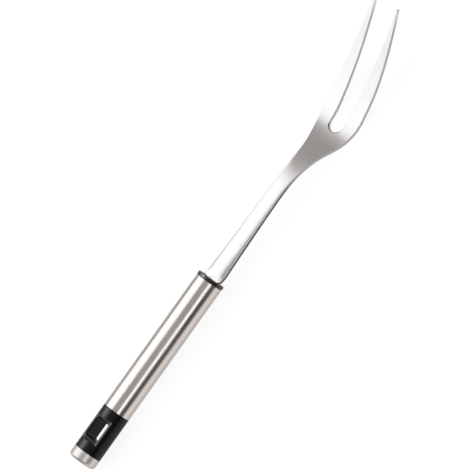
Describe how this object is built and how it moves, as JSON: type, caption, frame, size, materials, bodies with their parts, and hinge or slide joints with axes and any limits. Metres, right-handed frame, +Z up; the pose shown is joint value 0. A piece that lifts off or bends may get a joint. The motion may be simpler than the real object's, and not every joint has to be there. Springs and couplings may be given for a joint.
{
  "type": "barbecue fork",
  "caption": "Long two-tined barbecue fork with a stamped steel head, a round steel tube handle, a black hanger block with a slot, and a rounded steel end cap.",
  "frame": {"origin": "on the table, below the middle of the fork's length and width", "axes": "+X runs along the fork from the butt to the points of the tines, +Z is up and is the front of the tines, and Y runs across the tines. The fork lies on its back, on the belly of the tines and the edge of the end cap, so the handle's axis rises 1.11 degrees toward the tines."},
  "size_m": [0.4106, 0.0384, 0.0403],
  "materials": {
    "head_steel": "satin polished stainless steel",
    "tube_steel": "finely brushed stainless steel",
    "cap_steel": "finely brushed stainless steel",
    "ferrule_plastic": "black moulded plastic, semi-gloss",
    "block_plastic": "black moulded plastic, semi-gloss"
  },
  "bodies": {
    "root": {"fork_head": "head_steel", "ferrule": "ferrule_plastic", "handle_tube": "tube_steel", "hanger_block": "block_plastic", "end_cap": "cap_steel"}
  },
  "joints": []
}
